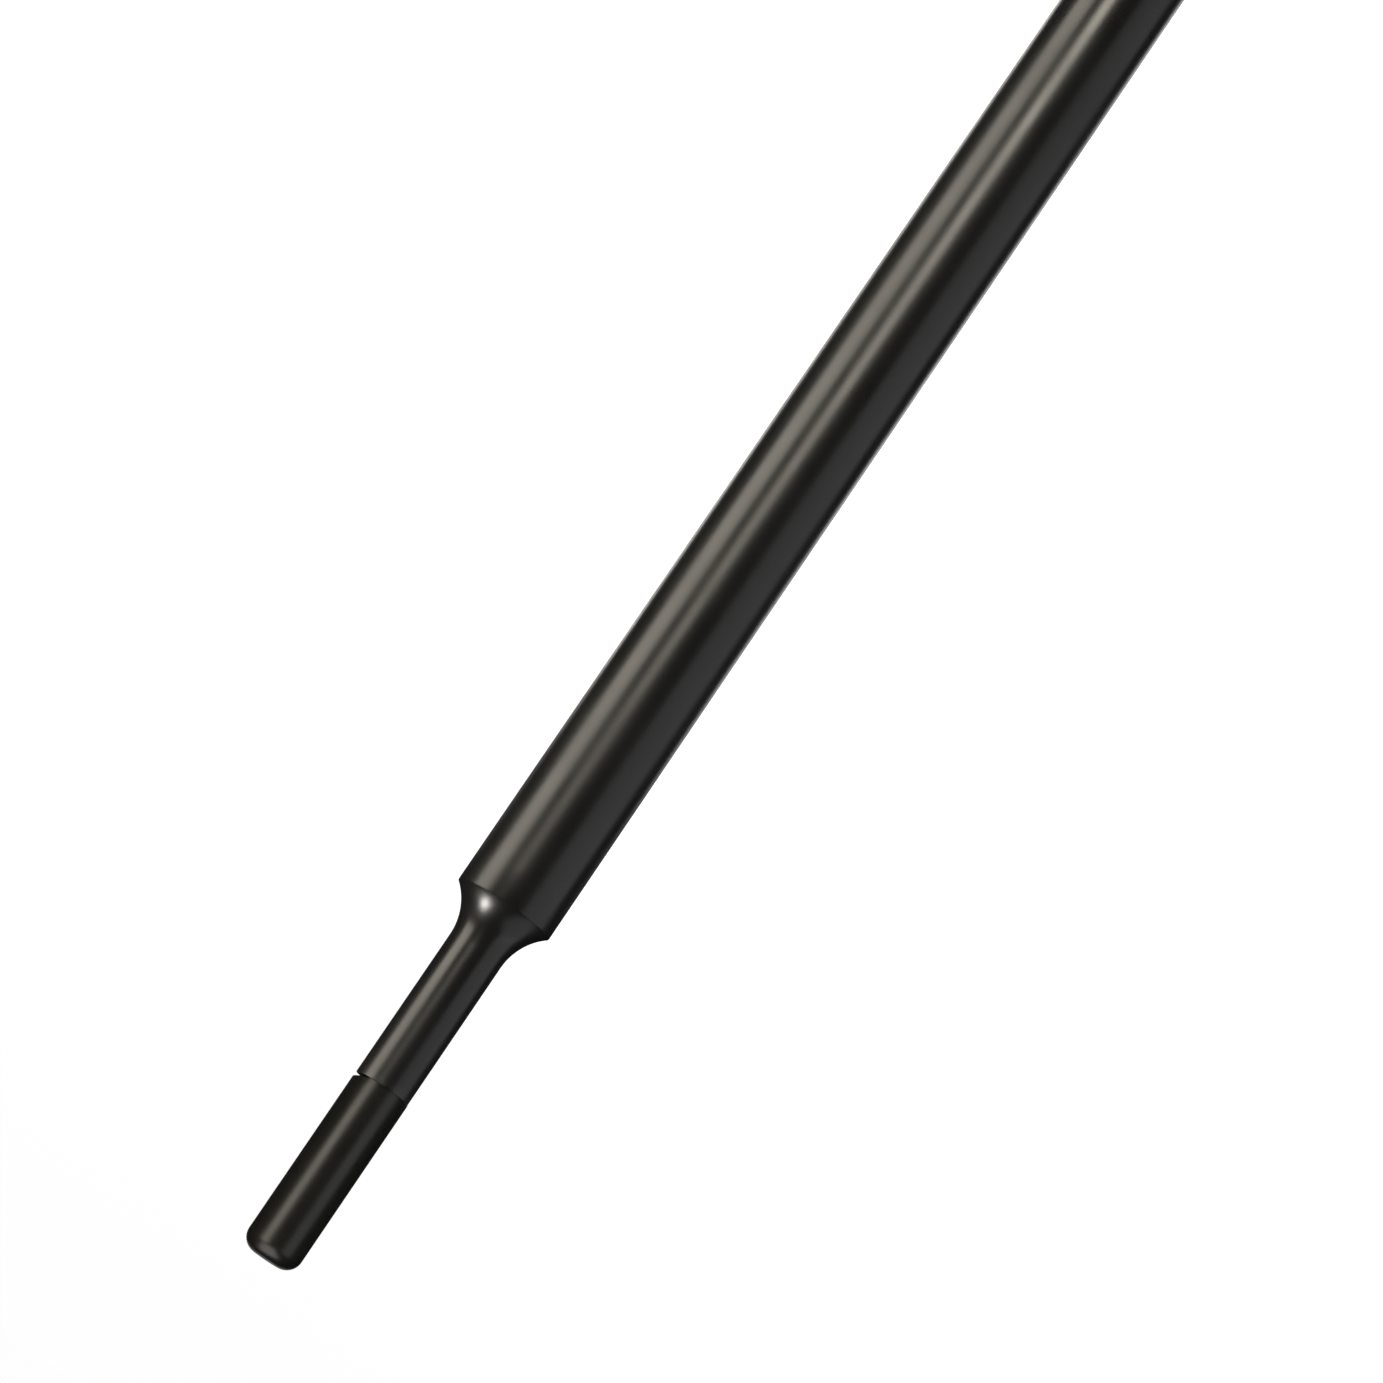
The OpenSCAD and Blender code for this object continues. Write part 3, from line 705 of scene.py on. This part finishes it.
cone_z, throat_r = spigot_top + 0.4, rod_r + 0.25
prof = [(nut_bore, nut_z + 0.2), (nut_bore + 0.2, nut_z)]
prof += rounded_side(nut_r, nut_z, nut_top, nut_edge, 8, 0.8)
prof += dense((nut_r - nut_edge - 0.1, nut_top), (rod_r + 1.0, nut_top), 0.7)
prof += [(rod_r + 0.85, nut_top), (rod_r + 0.8, nut_top - 0.05), (throat_r + 0.02, nut_top - 0.58)]
prof += [(throat_r, nut_top - 0.7), (throat_r, cone_z + 3.05), (rod_r + cone_narrow, cone_z + 3.05)]
prof += [(rod_r + cone_wide, cone_z), (rod_r + cone_wide, spigot_top + 0.1), (nut_bore, spigot_top + 0.1)]
prof += dense((nut_bore, spigot_top - 0.2), (nut_bore, nut_z + 0.3), 0.09)
piece("gland_nut_fluted", lathe("gland_nut_fluted", prof, 288, nut_warp), M_BLACK, "gland_nut")

# ---------------------------------------------------------------- bumper at the rod's lower end
edge, waist_r = 0.8, bump_r - 0.18
prof = [(screw_hole_r, bump_z + 2.2), (screw_head_r, bump_z + 2.2), (screw_head_r, bump_z + 0.15)]
prof += [(screw_head_r + 0.15, bump_z)] + arc(bump_r - edge, bump_z + edge, edge, -90, 0, 8)
prof += [(bump_r, bump_z + 1.6), (waist_r, bump_z + 1.75), (waist_r, bump_z + 1.95), (bump_r, bump_z + 2.1)]
prof += arc(bump_r - edge, bump_top - edge, edge, 0, 90, 8) + [(screw_hole_r, bump_top)]
piece("rod_bumper_moulded", lathe("rod_bumper_moulded", prof, 96), M_RUBBER, "rod_bumper")

# ---------------------------------------------------------------- floor
floor_size = 40.0


def floor_paper():
    """Pale seamless paper. It glows evenly away from the object, so that no horizon shows."""
    k = Nodes("floor_paper")
    k.set(Base_Color=(0.60, 0.60, 0.60, 1), Roughness=0.9, Specular_IOR_Level=0.1)
    k.bump(k.noise(900, 4), 0.05, 0.05)
    ln = k.t.nodes.new("ShaderNodeVectorMath")
    ln.operation = "LENGTH"
    k.link(k.co, ln.inputs[0])
    far = k.t.nodes.new("ShaderNodeMapRange")
    far.interpolation_type = "SMOOTHSTEP"
    far.inputs["From Min"].default_value = 0.05
    far.inputs["From Max"].default_value = 0.25
    far.inputs["To Min"].default_value = 0.06
    far.inputs["To Max"].default_value = 0.985
    k.link(ln.outputs["Value"], far.inputs["Value"])
    k.p.inputs["Emission Color"].default_value = (1, 1, 1, 1)
    k.link(far.outputs["Result"], k.p.inputs["Emission Strength"])
    return k.m


bm = bmesh.new()
bmesh.ops.create_grid(bm, x_segments=8, y_segments=8, size=floor_size)
floor = bpy.data.objects.new("floor", bpy.data.meshes.new("floor"))
bm.to_mesh(floor.data)
bm.free()
floor.data.materials.append(floor_paper())
bpy.context.scene.collection.objects.link(floor)
floor.visible_glossy = False
floor.visible_shadow = False


# ---------------------------------------------------------------- world and lights
def studio_world():
    """White where the camera sees it, also through the tube, and nearly dark as a light."""
    world = bpy.data.worlds.new("studio")
    world.use_nodes = True
    t = world.node_tree
    dim = t.nodes["Background"]
    seen = t.nodes.new("ShaderNodeBackground")
    for node, strength in ((dim, 0.012), (seen, 0.985)):
        node.inputs["Color"].default_value = (1, 1, 1, 1)
        node.inputs["Strength"].default_value = strength
    path = t.nodes.new("ShaderNodeLightPath")
    either = t.nodes.new("ShaderNodeMath")
    either.operation = "MAXIMUM"
    mixer = t.nodes.new("ShaderNodeMixShader")
    t.links.new(path.outputs["Is Camera Ray"], either.inputs[0])
    t.links.new(path.outputs["Is Transmission Ray"], either.inputs[1])
    t.links.new(either.outputs[0], mixer.inputs["Fac"])
    t.links.new(dim.outputs[0], mixer.inputs[1])
    t.links.new(seen.outputs[0], mixer.inputs[2])
    t.links.new(mixer.outputs[0], t.nodes["World Output"].inputs["Surface"])
    return world


bpy.context.scene.world = studio_world()


def receivers(name, objects, state):
    """A light-linking collection that takes in, or leaves out, the objects given."""
    coll = bpy.data.collections.new(name)
    for ob in objects:
        coll.objects.link(ob)
    for entry in coll.collection_objects:
        entry.light_linking.link_state = state
    return coll


SKIP_TIP = receivers("skip_tip", [TIP], "EXCLUDE")
TIP_ONLY = receivers("tip_only", [TIP], "INCLUDE")
SKIP_PROBE = receivers("skip_probe", [ROD, TIP], "EXCLUDE")
WARM = (1.0, 0.925, 0.80)
SOFT_WARM = (1.0, 0.97, 0.91)
AT_SHOULDER, AT_TIP, AT_FOOT = (0, 0, shoulder_z * MM), (0, 0, tip_top * MM), (0, 0, 0)


def softbox(name, azimuth, dist, z, w, h, radiance, elevation=0.0, aim=None, glossy=True, diffuse=True,
            color=None, link=None):
    """A soft panel facing the axis at height z in mm, or the point aim in metres.

    Its azimuth is counted from the main camera's side, positive towards +X. Sizes are in metres.
    """
    a, el = math.radians(azimuth), math.radians(elevation)
    target = Vector(aim or (0, 0, z * MM))
    d = Vector((math.sin(a) * math.cos(el), -math.cos(a) * math.cos(el), math.sin(el)))
    li = bpy.data.lights.new(name, "AREA")
    li.shape = "RECTANGLE"
    li.size, li.size_y = w, h
    li.energy = radiance * math.pi * w * h
    li.color = color or (1.0, 1.0, 1.0)
    ob = bpy.data.objects.new(name, li)
    ob.location = target + d * dist
    ob.rotation_mode = "QUATERNION"
    ob.rotation_quaternion = d.to_track_quat("Z", "Y")
    bpy.context.scene.collection.objects.link(ob)
    ob.visible_camera = False
    ob.visible_transmission = False
    ob.visible_glossy = glossy
    ob.visible_diffuse = diffuse
    if link:
        ob.light_linking.receiver_collection = link


# The bar and everything under it. The sleeve has lights of its own, as its highlight lies elsewhere.
softbox("strip_key", 69.5, 0.42, 120, 0.27, 0.42, 4.9, color=WARM, link=SKIP_TIP)
softbox("strip_second", 22, 0.42, 5, 0.13, 0.25, 4.8, color=WARM, link=SKIP_TIP)
softbox("strip_second_low", 22, 0.41, -40, 0.13, 0.14, 7.6, color=WARM, link=SKIP_TIP)
softbox("strip_second_high", 22, 0.42, 250, 0.13, 0.22, 0.5, color=WARM, link=SKIP_TIP)
softbox("fill_wide", -70, 0.42, 170, 0.56, 0.52, 0.68, link=SKIP_TIP)
softbox("fill_top", -78, 0.42, 0, 0.5, 0.34, 0.62, elevation=46, aim=AT_SHOULDER, link=SKIP_TIP)
softbox("top_key", 71.5, 0.35, 0, 0.08, 0.08, 54.0, elevation=54.5, aim=AT_SHOULDER, color=SOFT_WARM,
        link=SKIP_TIP)
softbox("tip_top", 22, 0.42, 0, 0.44, 0.46, 2.4, elevation=66, aim=AT_TIP, color=SOFT_WARM, link=TIP_ONLY)
softbox("tip_key", 44, 0.42, 235, 0.21, 0.42, 3.7, color=WARM, link=TIP_ONLY)
softbox("tip_back", 180, 0.5, 0, 0.3, 0.2, 0.35, elevation=14, aim=AT_TIP, link=TIP_ONLY)
softbox("tip_fill", -54, 0.42, 235, 0.30, 0.42, 0.72, link=TIP_ONLY)
# The back is lit from below the floor, which casts no shadow, so that no rim shows in the main view.
softbox("back_left", 155, 0.6, -110, 0.14, 0.38, 2.6, color=SOFT_WARM)
softbox("back_right", 205, 0.6, -110, 0.20, 0.38, 1.6)
# The overhead light's diffuse part and its weaker reflection. Both leave the probe out.
softbox("overhead", 0, 1.3, 0, 1.6, 1.6, 3.2, elevation=88, aim=AT_FOOT, glossy=False, link=SKIP_PROBE)
softbox("overhead_shine", 0, 1.3, 0, 1.6, 1.6, 1.0, elevation=88, aim=AT_FOOT, diffuse=False,
        link=SKIP_PROBE)

# ---------------------------------------------------------------- camera
cam = bpy.data.cameras.new("camera")
cam.sensor_width = 36.0
cam.lens = 117.13666
cam.clip_start, cam.clip_end = 0.01, 100.0
cam_ob = bpy.data.objects.new("camera", cam)
bpy.context.scene.collection.objects.link(cam_ob)
bpy.context.scene.camera = cam_ob
yaw, tilt, roll = math.radians(-0.4274), math.radians(-11.8628), math.radians(-145.8682)
forward = Vector((math.sin(yaw) * math.cos(tilt), math.cos(yaw) * math.cos(tilt), math.sin(tilt)))
level_right = forward.cross(Vector((0, 0, 1))).normalized()
level_up = level_right.cross(forward)
right = math.cos(roll) * level_right + math.sin(roll) * level_up
up = -math.sin(roll) * level_right + math.cos(roll) * level_up
rot = Matrix((right, up, -forward)).transposed().to_4x4()
cam_back, cam_above_tip = 0.260056, 0.013209
cam_ob.matrix_world = Matrix.Translation((0, -cam_back, tip_top * MM + cam_above_tip)) @ rot

vs = bpy.context.scene.view_settings
vs.view_transform = "Standard"
vs.look = "None"
vs.exposure = 0.0
vs.gamma = 1.0
